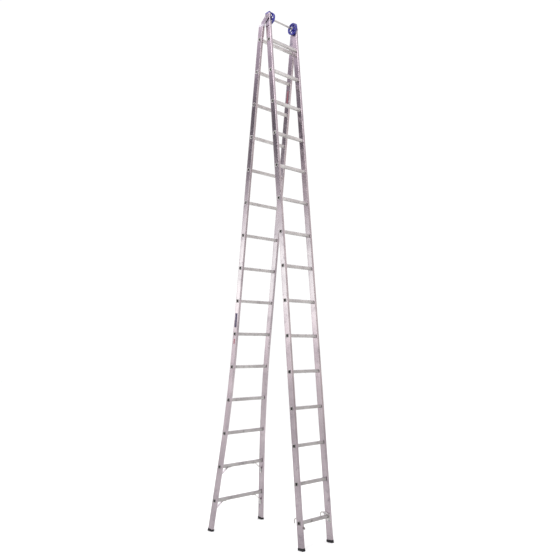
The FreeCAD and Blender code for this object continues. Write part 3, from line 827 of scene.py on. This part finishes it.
    def sleeve(self, side: Side, low: float, high: float) -> bpy.types.Object:
        """A crimped sleeve round the stile: a thin band, its edges drawn in, with shallow crimps.

        A row's outset is 0.35 + 0.2 cos(4 turns x share of the length).

        Args:
            side: which stile.
            low: its lower edge above the shoe's top, in millimetres.
            high: its upper edge above the shoe's top.

        Returns:
            The piece.
        """
        share = np.linspace(0.0, 1.0, 21)
        crimp = 0.35 + 0.2 * np.cos(share * 4 * 2 * math.pi)
        crimp[[0, -1]] = 0.15
        foot = self.shoe_top() + low
        rows = [(1.0, grow, foot + (high - low) * part) for grow, part in zip(crimp, share)]
        rows += [(1.0, -0.25, foot + high - low), (1.0, -0.25, foot)]
        loops = self.plain_outline().loops(rows)
        u = np.array(rows)[:, 2:]
        points = self.place(self.beside(side, loops[:, :, 0], u), loops[:, :, 1], u)
        return skin(f"{self.word}_crimped_sleeve_{side.word}", points, 30.0, wrap=True)

    def label(
        self, name: str, side: Side, face: int, down: float, length: float, half: float
    ) -> bpy.types.Object:
        """A blank label in the channel of a broad face: a thin film with round corners.

        Args:
            name: the piece's name.
            side: which stile.
            face: 1 for its outer face, -1 for its inner face.
            down: the label's middle below the bar, in millimetres.
            length: its size along the stile.
            half: half its size across the stile.

        Returns:
            The piece.
        """
        # scale, outset and lift off the channel's floor
        rows = [(0.0, 0.0, -0.1), (1.0, 0.0, -0.1), (1.0, 0.0, 0.18), (1.0, -0.15, 0.25), (0.0, 0.0, 0.25)]
        b, up = np.moveaxis(rounded_outline(half, length / 2, radius=2.0).loops(rows), -1, 0)
        spread, angle = self.spread(np.array(down))
        w = face * (self.stile_half_width - self.channel_depth + np.array(rows)[:, 2:])
        x = side.value * (self.spacing / 2 + spread + w * np.cos(angle) - up * np.tan(angle))
        return skin(name, self.place(x, b, -down + up + w * np.sin(angle)), 30.0)


# ------------------------------------------------------------------ the hinge


@dataclass
class HingeBar:
    """The tube that the two sections hang on."""

    outer: float = 8.0
    bore: float = 5.0
    edge: float = 0.8
    steps: int = 56

    def tube(self) -> bpy.types.Object:
        """A tube with rounded ends: a rounded rectangle between the bore and the skin, spun about the bar.

        A point is the profile's radius times the cosine and sine of the turn.

        Returns:
            The piece.
        """
        low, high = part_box("hinge_bar")
        half = (high.x - low.x) / 2 / MM
        out, along = rounded_outline((self.outer - self.bore) / 2, half, self.edge).at(0.0).T
        radius = out + (self.outer + self.bore) / 2
        turn = (np.arange(self.steps) * 2 * math.pi / self.steps)[:, None]
        rings = np.broadcast_arrays(along, radius * np.cos(turn), radius * np.sin(turn))
        piece = skin("hinge_tube", middle("hinge_bar") + np.stack(rings, -1) * MM, wrap=True)
        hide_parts("hinge_bar")
        return piece


# ------------------------------------------------------------------ studio


def axes(right: Iterable[float], top: Iterable[float], back: Iterable[float], at: Iterable[float]) -> Matrix:
    """A placement whose columns are three directions and a point.

    Args:
        right: local X.
        top: local Y.
        back: local Z.
        at: the place.

    Returns:
        The matrix.
    """
    placed = np.eye(4)
    placed[:3] = np.stack([list(right), list(top), list(back), list(at)], -1)
    return Matrix(placed.tolist())


@dataclass(frozen=True)
class Lamp:
    """A soft rectangular light."""

    name: str
    at: tuple[float, float, float]
    aim: tuple[float, float, float]
    size: tuple[float, float]
    power: float


@dataclass
class Studio:
    """The floor, the pale surroundings, the lights and the camera."""

    floor_colour: str = "#FCFCFC"
    floor_reach: float = 60.0
    sky: float = 1.04
    gloss_sky: float = 2.8
    # What bright metal reflects: colours by the sine of the height above the horizon, as seen to
    # the sides of -X +Y (behind) and of +X -Y (front), and where one goes over to the other.
    behind: tuple[tuple[float, str], ...] = (
        (0.0, "#ADA5AA"), (0.05, "#CEC8CB"), (0.12, "#F2FFF9"), (0.18, "#EAF4EF"), (0.225, "#BFB8BE"),
        (0.28, "#6A646E"), (0.32, "#1B181F"), (0.395, "#1B181F"), (0.44, "#857E8A"), (0.49, "#CFC8D3"),
        (1.0, "#DDD6E1"),
    )
    front: tuple[tuple[float, str], ...] = (
        (0.0, "#8C8988"), (0.20, "#A9A6A4"), (0.34, "#A8A5A4"), (0.48, "#A29FA2"), (0.62, "#A29FA4"),
        (1.0, "#A29FA4"),
    )
    change: tuple[float, float] = (-0.25, 0.45)
    camera_at: tuple[float, float, float] = (-3.6139, -3.9986, 1.3935)
    camera_yaw: float = 46.9314
    camera_pitch: float = 7.2592
    camera_roll: float = -1.1018
    lens: float = 41.02
    sensor: float = 36.0
    farthest: float = 200.0
    lamps: tuple[Lamp, ...] = (
        Lamp("key", (-4.5, -2.0, 6.5), (0.0, 0.0, 2.2), (3.0, 3.0), 160.0),
        Lamp("fill", (6.0, -1.5, 5.0), (0.0, 0.0, 1.8), (3.0, 4.0), 60.0),
        Lamp("back", (3.5, 4.5, 5.5), (0.0, 0.0, 2.4), (4.0, 4.0), 50.0),
    )

    def floor(self) -> None:
        """A pale paper floor, wide enough to meet the surroundings far away."""
        mesh = bpy.data.meshes.new("studio_floor")
        far = self.floor_reach
        corners = [(-far, -far, 0.0), (far, -far, 0.0), (far, far, 0.0), (-far, far, 0.0)]
        mesh.from_pydata(corners, [], [(0, 1, 2, 3)])
        # Background paper: matt and evenly white.
        paper, shader = new_material("studio_paper")
        shader.inputs["Base Color"].default_value = linear(self.floor_colour)
        shader.inputs["Roughness"].default_value = 0.9
        shader.inputs["Specular IOR Level"].default_value = 0.1
        mesh.materials.append(paper)
        add_object("studio_floor", mesh)

    def surroundings(self) -> None:
        """A near-white world. Gloss sees darker bands in it, so bare metal has something to reflect."""
        world = bpy.data.worlds.new("studio")
        bpy.context.scene.world = world
        world.use_nodes = True
        tree = world.node_tree
        tree.nodes.clear()
        way = add_node(tree, "ShaderNodeTexCoord").outputs["Generated"]
        parts = add_node(tree, "ShaderNodeSeparateXYZ", {"Vector": way}).outputs
        behind, front = (
            stops(add_node(tree, "ShaderNodeValToRGB", {"Fac": parts["Z"]}), colours)
            for colours in (self.behind, self.front)
        )
        turn = add_node(
            tree, "ShaderNodeMath", {0: parts["X"], 1: parts["Y"]}, operation="SUBTRACT"
        ).outputs["Value"]
        change = {"Value": turn, "From Min": self.change[0], "From Max": self.change[1]}
        share = add_node(tree, "ShaderNodeMapRange", change).outputs["Result"]
        colours = {MIX_SHARE: share, MIX_A: behind, MIX_B: front}
        seen = add_node(tree, "ShaderNodeMix", colours, data_type="RGBA").outputs[MIX_RESULT]
        glossy, plain = (
            add_node(tree, "ShaderNodeBackground", {"Color": colour, "Strength": strength}).outputs[0]
            for colour, strength in ((seen, self.gloss_sky), (linear("#FFFFFF"), self.sky))
        )
        ray = add_node(tree, "ShaderNodeLightPath").outputs["Is Glossy Ray"]
        mixed = add_node(tree, "ShaderNodeMixShader", {0: ray, 1: plain, 2: glossy}).outputs["Shader"]
        add_node(tree, "ShaderNodeOutputWorld", {"Surface": mixed})

    def light(self) -> None:
        """Hangs the soft lights."""
        for lamp in self.lamps:
            data = bpy.data.lights.new(lamp.name, "AREA")
            data.shape = "RECTANGLE"
            data.size, data.size_y = lamp.size
            data.energy = lamp.power
            back = np.array(lamp.at) - np.array(lamp.aim)
            back /= np.linalg.norm(back)
            right = np.cross([0.0, 0.0, 1.0], back)
            right /= np.linalg.norm(right)
            add_object(lamp.name, data).matrix_world = axes(right, np.cross(back, right), back, lamp.at)

    def camera(self) -> None:
        """Stands the camera: yaw from +X, pitch upwards, then roll about the line of sight."""
        yaw, pitch, roll = (math.radians(v) for v in (self.camera_yaw, self.camera_pitch, self.camera_roll))
        ahead = np.array([math.cos(yaw) * math.cos(pitch), math.sin(yaw) * math.cos(pitch), math.sin(pitch)])
        level = np.array([math.sin(yaw), -math.cos(yaw), 0.0])
        above = np.cross(level, ahead)
        right = level * math.cos(roll) + above * math.sin(roll)
        top = above * math.cos(roll) - level * math.sin(roll)
        data = bpy.data.cameras.new("camera")
        data.lens = self.lens
        data.sensor_width = self.sensor
        data.clip_end = self.farthest
        camera = add_object("camera", data)
        camera.matrix_world = axes(right, top, -ahead, self.camera_at)
        bpy.context.scene.camera = camera

    def build(self) -> None:
        """Sets the whole studio up."""
        self.camera()
        self.floor()
        self.surroundings()
        self.light()
        bpy.context.scene.view_settings.view_transform = "Standard"


# ------------------------------------------------------------------ the ladder


@dataclass
class Ladder:
    """Both sections and the hardware that joins them."""

    finishes: Finishes = field(default_factory=Finishes)
    paint: Paintbox = field(default_factory=Paintbox)

    def sections(self) -> None:
        """Builds the wide base section and the narrow fly section."""
        finishes, dress = self.finishes, self.paint.dress
        base = Section(
            "base", "base_section", 375.0, -80.0, finishes.base_stile, bend_start=2800.0, splay=4.9
        )
        fly = Section("fly", "fly_section", 312.0, 34.0, finishes.fly_stile)
        for section, dome, cap_finish in ((base, 3.0, finishes.pale), (fly, 7.0, finishes.blue)):
            for side in Side:
                dress(section.stile(side), section.stile_finish, section.body)
                dress(section.shoe(side), finishes.rubber, section.body)
                dress(section.plug(side, dome), cap_finish, section.body)
            for number in range(1, section.rungs + 1):
                dress(section.rung(number), finishes.rung, section.body)
        for side in Side:
            dress(fly.sleeve(side, 0.5, 30.0), finishes.fly_stile, fly.body)
        # name, stile, face, how far below the bar, length, half its width, finish
        labels = (
            ("dark_label", Side.LEFT, 1, 2596.0, 120.0, 14.0, finishes.label),
            ("small_red_label", Side.LEFT, 1, 2775.0, 44.0, 8.0, finishes.red_label),
            ("red_label", Side.RIGHT, -1, 588.0, 112.0, 8.0, finishes.red_label),
        )
        for *sizes, finish in labels:
            dress(base.label(*sizes), finish, base.body)

    def hardware(self) -> None:
        """Builds the bar and rounds the edges of the plates, wheels, rivets and braces."""
        finishes = self.finishes
        base, fly = "base_section", "fly_section"
        self.paint.dress(HingeBar().tube(), finishes.zinc, "hinge_bar")
        # CAD node, new name, rounding and its steps, finish and body
        parts = [
            ("wheel_washers", "bar_washers", 0.5, 2, finishes.zinc, "hinge_bar"),
            ("hinge_bushes", "bar_bushes", 0.2, 2, finishes.pale, fly),
            ("base_rivets", "base_rivet_heads", 1.1, 3, finishes.rivet, base),
            ("fly_rivets", "fly_rivet_heads", 1.1, 3, finishes.rivet, fly),
        ]
        for word in (side.word for side in Side):
            parts += [
                (f"wheel_{word}", f"guide_wheel_{word}", 1.2, 3, finishes.blue, f"wheel_{word}"),
                (f"hinge_ear_{word}", f"hinge_ear_plate_{word}", 0.8, 2, finishes.plate, base),
                (f"head_plate_{word}", f"head_wear_plate_{word}", 0.4, 2, finishes.plate, fly),
                (f"rung_hook_{word}", f"rung_catch_{word}", 0.9, 3, finishes.zinc, fly),
                (f"rung_brace_14_{word}", f"brace_strap_14_{word}", 0.6, 2, finishes.zinc, base),
                (f"rung_brace_15_{word}", f"brace_strap_15_{word}", 0.6, 2, finishes.zinc, base),
            ]
        for node, name, width, segments, finish, body in parts:
            self.paint.dress(soften(node, name, width, segments), finish, body)


def main() -> None:
    """Builds the studio and the ladder."""
    logging.basicConfig(level=logging.INFO, format="%(message)s")
    Studio().build()
    ladder = Ladder()
    ladder.sections()
    ladder.hardware()


if __name__ == "__main__":
    main()
